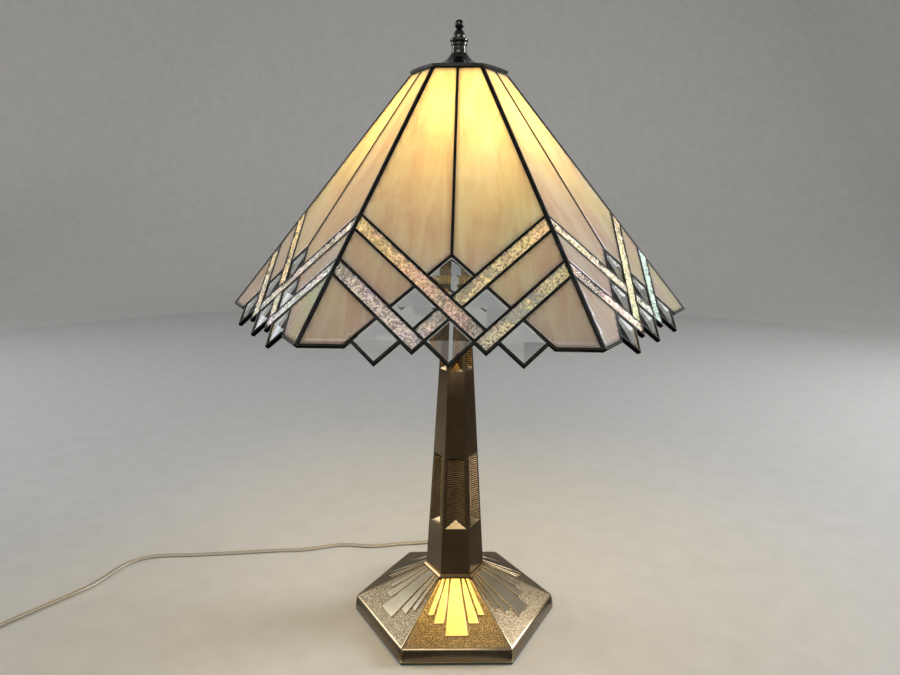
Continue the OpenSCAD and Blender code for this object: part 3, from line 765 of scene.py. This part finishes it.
def lead_lattice(k):
    """The lead lines of a panel: one flat lattice with rounded solder edges, front and back."""
    holes = [inset(p, LEAD_W / 2) for p in PATTERN["opal"] + PATTERN["bands"]] + PATTERN["squares"]
    outer_moves = [LEAD_ROUNDING] * LOWER_EDGES + [BORDER_ROUNDING] * 3
    bm = bmesh.new()
    rims = [lattice_ring(bm, PATTERN["outline"], outer_moves)]
    rims += [lattice_ring(bm, hole, [-LEAD_ROUNDING] * len(hole)) for hole in holes]
    for side in (0, 1):
        loops = [rim[side] for rim in rims]
        points, edges = [], []
        for loop in loops:
            first = len(points)
            points += loop
            edges += [(first + j, first + (j + 1) % len(loop)) for j in range(len(loop))]
        flat = [v.co.xy for v in points]
        corners, _, triangles, origins, _, _ = delaunay_2d_cdt(flat, edges, [], 0, 1e-6)
        shapes = [[v.co.xy for v in loop] for loop in loops]
        for triangle in triangles:
            middle = sum((corners[i] for i in triangle), Vector((0, 0))) / 3
            if sum(is_inside(middle, shape) for shape in shapes) == 1:
                bm.faces.new([points[origins[i][0]] for i in triangle])
    if k % 2 == 0:
        bmesh.ops.scale(bm, vec=(-1, 1, 1), verts=bm.verts)
    bm.verts.index_update()
    verts = [tuple(v.co) for v in bm.verts]
    faces = [tuple(v.index for v in f.verts) for f in bm.faces]
    bm.free()
    ob = mesh_object(f"panel_{k}_lattice", verts, faces, on_panel(k))
    tidy_mesh(ob)
    smooth_faces(ob, 50)
    return ob


def seam_beads():
    """A fat ridge of solder down each corner, with the small ripples that the iron leaves."""
    half_w, half_t, sides, step = 2.1, 2.35, 14, 1.1
    rings = int((CORNER_LEN - 3) / step)
    verts, faces = [], []
    for k in range(6):
        place = (rot_z(SHADE_TURN + 60 * k + 30) @ shift(0, -SHADE_R, SHADE_Z)
                 @ Matrix.Rotation(CORNER_RISE, 4, "X"))
        first = len(verts)
        for i in range(rings + 1):
            along = i * step
            ripple = 0.09 * math.sin(along * 2.1 + 1.5 * noise.noise(Vector((along / 9, k, 0))))
            swell = 1 + 0.06 * noise.noise(Vector((along / 6, k * 5, 1)))
            for j in range(sides):
                a = 2 * math.pi * j / sides
                out = half_t * math.sin(a)
                verts.append(place @ Vector((half_w * swell * math.cos(a), along,
                                             out + (ripple + 0.15) * max(0, math.sin(a)))))
        faces.append(tuple(first + j for j in range(sides)))
        faces.append(tuple(first + rings * sides + j for j in reversed(range(sides))))
        for i in range(rings):
            faces += ring_faces(first + i * sides, sides)
    ob = mesh_object("seam_beads", verts, faces)
    tidy_mesh(ob)
    smooth_faces(ob, 60)
    return ob


# ---- Foot ----

def foot_shell():
    """The six-sided foot: a low rim and a sloping top with rounded edges."""
    rings = [(FOOT_R, FELT_T), (FOOT_RIM_R, FOOT_RIM_H), (FOOT_TOP_R, FOOT_H)]
    verts = [(r * math.cos(math.radians(60 * i)), r * math.sin(math.radians(60 * i)), z)
             for r, z in rings for i in range(6)]
    faces = [tuple(reversed(range(6))), tuple(range(12, 18))]
    for row in (0, 6):
        faces += wall_faces(row, 6)
    ob = mesh_object("foot_shell", verts, faces)
    tidy_mesh(ob)
    soften(ob, 1.5, 3, 15)
    smooth_faces(ob, 60)
    return ob


def foot_rays():
    """Five raised rays on each sloping face, the middle one longest and widest."""
    run = (FOOT_RIM_R - FOOT_TOP_R) * COS30
    rise = FOOT_H - FOOT_RIM_H
    length = math.hypot(run, rise)
    # Distance from the face's middle, and up from the rim, of each ray's corners
    outlines = [
        [(-11.5, 12.5), (11.5, 12.5), (5, length - 1), (-5, length - 1)],
        [(12.3, 25.3), (23, 25.3), (9.8, length - 1), (6, length - 1)],
        [(22.6, 34.2), (29, 34.2), (14.3, length - 1), (10.8, length - 1)],
    ]
    outlines += [mirrored(o) for o in outlines[1:]]
    verts, faces = [], []
    for i in range(6):
        place = (rot_z(60 * i) @ shift(0, -FOOT_RIM_R * COS30, FOOT_RIM_H)
                 @ Matrix.Rotation(math.atan2(rise, run), 4, "X"))
        for outline in outlines:
            first, count = len(verts), len(outline)
            for z in (-0.5, RAY_RISE):
                verts += [place @ Vector((x, y, z)) for x, y in outline]
            faces.append(tuple(first + j for j in reversed(range(count))))
            faces.append(tuple(first + count + j for j in range(count)))
            faces += wall_faces(first, count)
    ob = mesh_object("foot_rays", verts, faces)
    soften(ob, 0.45, 2, 30)
    smooth_faces(ob, 60)
    return ob


# ---- Column ----

def column_r(z):
    """Radius of the column's corners at height z."""
    return COLUMN_R + (COLUMN_TOP_R - COLUMN_R) * (z - COLUMN_Z) / (COLUMN_TOP_Z - COLUMN_Z)


def recess_section(z, tier):
    """Half width of the recess at height z, and the x and depth of the floor's edge in its V."""
    low, high = tier
    half_w = column_r(z) / 2 - PILASTER_W
    share = (z - low) / (high - low)
    v_depth = SILL_DEPTH + (HEAD_DEPTH - SILL_DEPTH) * share
    floor = min(v_depth, SILL_DEPTH * (z - low) / SILL_RISE, HEAD_DEPTH * (high - z) / HEAD_DROP)
    return half_w, half_w * (1 - floor / v_depth), floor


def column_skin():
    """The tapered six-sided column, with two tiers of V-shaped recesses in each face."""
    heights = [(COLUMN_Z, None)]
    for tier in TIERS:
        low, high = tier
        heights += [(z, tier) for z in (low, low + SILL_RISE, high - HEAD_DROP, high)]
    heights.append((COLUMN_TOP_Z, None))
    verts, faces = [], []
    for z, tier in heights:
        r = column_r(z)
        face_y = -r * COS30
        if tier:
            half_w, mid_x, depth = recess_section(z, tier)
        else:
            half_w, mid_x, depth = r / 2 - PILASTER_W, 0.25 * r, 0
        mid_x = max(mid_x, 0.02)
        row = [(-r / 2, face_y), (-half_w, face_y), (-mid_x, face_y + depth), (mid_x, face_y + depth),
               (half_w, face_y)]
        for i in range(6):
            verts += [rot_z(60 * i) @ Vector((x, y, z)) for x, y in row]
    around = 6 * len(row)
    for level in range(len(heights) - 1):
        faces += wall_faces(level * around, around)
    faces.append(tuple(reversed(range(around))))
    faces.append(tuple(range((len(heights) - 1) * around, len(heights) * around)))
    ob = mesh_object("column_skin", verts, faces)
    tidy_mesh(ob, 0.05)
    soften(ob, 0.5, 2, 18)
    smooth_faces(ob, 40)
    return ob


def column_ribs():
    """Level ribs, one above another, across both slopes of every recess."""
    pitch, rise, arc = 2.4, 0.85, 5
    verts, faces = [], []
    for tier in TIERS:
        low, high = tier
        count = int((high - low - 4) / pitch)
        for i in range(6):
            for side in (-1, 1):
                for n in range(count):
                    z = low + 3.5 + pitch * n
                    half_w, mid_x, depth = recess_section(z, tier)
                    face_y = -column_r(z) * COS30
                    outer = Vector((side * half_w * 0.95, face_y + 0.05 * SILL_DEPTH, z))
                    inner = Vector((side * max(mid_x, 0.15), face_y + depth, z))
                    if (outer - inner).length < 1.0:
                        continue
                    along = (inner - outer).normalized()
                    out = along.cross(Vector((0, 0, 1))) * -side
                    if out.y > 0:
                        out.negate()
                    first = len(verts)
                    for end in (outer, inner):
                        for j in range(arc):
                            a = math.pi * j / (arc - 1)
                            level = Vector((0, 0, pitch * 0.42 * math.cos(a)))
                            verts.append(rot_z(60 * i) @ (end + level + out * (rise * math.sin(a) - 0.1)))
                    faces += [(first + j, first + j + 1, first + arc + j + 1, first + arc + j)
                              for j in range(arc - 1)]
                    faces.append((first + arc - 1, first, first + arc, first + 2 * arc - 1))
                    faces.append(tuple(first + j for j in reversed(range(arc))))
                    faces.append(tuple(first + arc + j for j in range(arc)))
    ob = mesh_object("column_ribs", verts, faces)
    tidy_mesh(ob)
    smooth_faces(ob, 50)
    return ob


# ---- Cord ----

def coil_points():
    """Turns of the coil: out on the floor, in, up, and out again, then off to the plug."""
    outer, inner = COIL_R + CORD_W / 2, COIL_R - CORD_W / 2
    layer = [CORD_T / 2 + i * (CORD_T + 0.1) for i in range(3)]
    stations = [(outer, layer[0]), (inner, layer[0]), (inner, layer[1]), (inner, layer[2]),
                (outer, layer[2]), (outer, layer[1])]
    start, sweep, step, ease = -28.9, 1951.1, 12, 50
    points = []
    for i in range(1, int(sweep / step) + 1):
        turned = i * step
        now = min(int(turned // 360), len(stations) - 1)
        into = turned - 360 * now
        r, z = stations[now]
        if now and into < ease:
            share = into / ease
            share = share * share * (3 - 2 * share)
            r_before, z_before = stations[now - 1]
            r, z = r_before + (r - r_before) * share, z_before + (z - z_before) * share
        a = math.radians(start - turned)
        points.append((COIL_X + r * math.cos(a), COIL_Y + r * math.sin(a), z))
    plug_x = COIL_X - COIL_R - 3
    return points + [(plug_x, COIL_Y + 5, 5.2), (plug_x, COIL_Y + 16, 6.2), (plug_x, COIL_Y + 26, 6.2)]


def smooth_path(points, parts):
    """A Catmull-Rom curve through the points, with that many steps between two of them."""
    points = [Vector(p) for p in points]
    last = len(points) - 1
    path = []
    for i in range(last):
        p, q, r, s = points[max(i - 1, 0)], points[i], points[i + 1], points[min(i + 2, last)]
        for n in range(parts):
            t = n / parts
            path.append(0.5 * (2 * q + (r - p) * t + (2 * p - 5 * q + 4 * r - s) * t * t
                               + (3 * q - p - 3 * r + s) * t ** 3))
    path.append(points[last])
    return path


def cord_section():
    """Outline of a flat two-core cord: two round lobes and a thin web between them."""
    lobe, web = CORD_T / 2, 0.62 * CORD_T / 2
    centre = CORD_W / 2 - lobe
    xs = [-(centre + lobe * math.cos(math.radians(a))) for a in range(0, 181, 30)]
    xs = [x for x in xs if x < 0] + [0]
    top = [(x, max(math.sqrt(max(lobe ** 2 - (abs(x) - centre) ** 2, 0)), web if abs(x) < centre else 0))
           for x in xs]
    top += [(-x, y) for x, y in reversed(top[:-1])]
    return top + [(x, -y) for x, y in reversed(top[1:-1])]


def make_cord(material):
    """The cord, from the foot along the floor to the coil and the plug."""
    path = smooth_path(CORD_ROUTE + coil_points(), 3)
    section = cord_section()
    sides = len(section)
    verts, faces, uvs, along = [], [], [], 0.0
    for i, p in enumerate(path):
        ahead = (path[min(i + 1, len(path) - 1)] - path[max(i - 1, 0)]).normalized()
        across = ahead.cross(Vector((0, 0, 1))).normalized()
        up = across.cross(ahead)
        along += (p - path[i - 1]).length if i else 0
        for x, y in section:
            verts.append(p + across * x + up * y)
            uvs.append(((x / CORD_W) + 0.5, along * MM))
    for i in range(len(path) - 1):
        faces += ring_faces(i * sides, sides)
    faces.append(tuple(range(sides)))
    faces.append(tuple((len(path) - 1) * sides + j for j in reversed(range(sides))))
    ob = mesh_object("cord_run", verts, faces)
    layer = ob.data.uv_layers.new(name="sheet")
    for loop in ob.data.loops:
        layer.data[loop.index].uv = uvs[loop.vertex_index]
    tidy_mesh(ob)
    smooth_faces(ob, 70)
    finish_piece(ob, material, "stand", "clear_cord", "cord", "cord_coil")


# ---- Build ----

make_camera()
clear_cord = cord_material()
make_cord(clear_cord)
make_floor()
make_dark_reflection_card()
make_world()
make_lights()

foot_brass = foot_material()
ray_brass = metal("ray_brass", (0.64, 0.53, 0.35), (0.78, 0.67, 0.47), 0.2, 30, 0.06)
column_brass = metal("column_brass", (0.28, 0.19, 0.095), (0.42, 0.30, 0.16), 0.13, 30, 0.05)
# A lighter brass on the rounded edges: a painted highlight along them
edge_highlight_brass = metal("edge_highlight_brass", (0.52, 0.39, 0.22), (0.68, 0.52, 0.31), 0.2, 60, 0.03)
rib_brass = metal("rib_brass", (0.26, 0.18, 0.09), (0.42, 0.30, 0.16), 0.24, 40, 0.05)
fitting_brass = metal("fitting_brass", (0.62, 0.48, 0.24), (0.74, 0.59, 0.32), 0.2, 50, 0.03)
socket_brass = metal("socket_brass", (0.66, 0.53, 0.30), (0.76, 0.62, 0.37), 0.32, 50, 0.03)
plain_brass = metal("plain_brass", (0.42, 0.34, 0.18), (0.55, 0.45, 0.25), 0.38, 60, 0.05)
iron = metal("iron", (0.05, 0.05, 0.05), (0.12, 0.115, 0.11), 0.6, 90, 0.3)
gunmetal = metal("gunmetal", (0.055, 0.057, 0.052), (0.11, 0.113, 0.10), 0.16, 40, 0.03)
blade_brass = metal("blade_brass", (0.72, 0.58, 0.32), (0.8, 0.66, 0.4), 0.2, 60, 0.02)
cap_aluminium = metal("cap_aluminium", (0.62, 0.61, 0.58), (0.74, 0.73, 0.70), 0.3, 60, 0.02)
knob_plastic = plastic("knob_plastic", (0.02, 0.013, 0.009), (0.035, 0.024, 0.016), 0.22)
insulator = plastic("insulator", (0.012, 0.011, 0.01), (0.025, 0.022, 0.02), 0.5)
plug_plastic = plastic("plug_plastic", (0.60, 0.58, 0.50), (0.68, 0.66, 0.58), 0.3, Coat_Weight=0.3)
tie_rubber = plastic("tie_rubber", (0.012, 0.012, 0.012), (0.022, 0.022, 0.022), 0.6)
lead = lead_material()
opal = opal_material()
band = band_material()
bevel_glass = bevel_material()
felt = felt_material()
bulb = bulb_material()

NODE_LOOKS = {
    "base_weight": iron, "base_felt": felt, "strain_relief": plug_plastic, "column_foot": column_brass,
    "column_crown": column_brass, "column_neck": fitting_brass, "husk_cup": fitting_brass,
    "centre_pipe": plain_brass, "pipe_nut": plain_brass, "lead_wires": clear_cord,
    "cluster_body": fitting_brass, "socket_arms": fitting_brass, "riser_rod": plain_brass,
    "shade_spider": plain_brass, "vase_cap": gunmetal, "finial": gunmetal, "cord_tie": tie_rubber,
    "plug_body": plug_plastic, "plug_blades": blade_brass,
}
for side in ("left", "right"):
    NODE_LOOKS[f"socket_cap_{side}"] = socket_brass
    NODE_LOOKS[f"socket_shell_{side}"] = socket_brass
    NODE_LOOKS[f"socket_core_{side}"] = insulator
    NODE_LOOKS[f"switch_knob_{side}"] = knob_plastic
    NODE_LOOKS[f"bulb_cap_{side}"] = cap_aluminium
    NODE_LOOKS[f"bulb_glass_{side}"] = bulb
for k in range(1, 7):
    NODE_LOOKS[f"panel_{k}_bevels"] = bevel_glass
for name, material in NODE_LOOKS.items():
    node = nodes[name]
    if material is bulb:
        # The light inside passes through the glass
        node.visible_shadow = False
    node.data.materials.clear()
    node.data.materials.append(material)

finish_piece(foot_shell(), foot_brass, "stand", "antique_brass", "base_casting", edges=edge_highlight_brass)
finish_piece(foot_rays(), ray_brass, "stand", "antique_brass", "base_casting", edges=edge_highlight_brass)
finish_piece(column_skin(), column_brass, "stand", "antique_brass", "column", edges=edge_highlight_brass)
finish_piece(column_ribs(), rib_brass, "stand", "antique_brass", "column")
finish_piece(seam_beads(), lead, "shade", "patina_lead", "shade_seams")
for k in range(1, 7):
    sheets = sheet_glass(f"panel_{k}_sheets", k, PATTERN["opal"], 5, opal_relief)
    finish_piece(sheets, opal, "shade", "opal_glass", f"panel_{k}_opal")
    strips = sheet_glass(f"panel_{k}_strips", k, PATTERN["bands"], 0.9, hammered_relief, band_tint)
    finish_piece(strips, band, "shade", "band_glass", f"panel_{k}_bands")
    finish_piece(lead_lattice(k), lead, "shade", "patina_lead", f"panel_{k}_lead")

scene.view_settings.view_transform = "Standard"
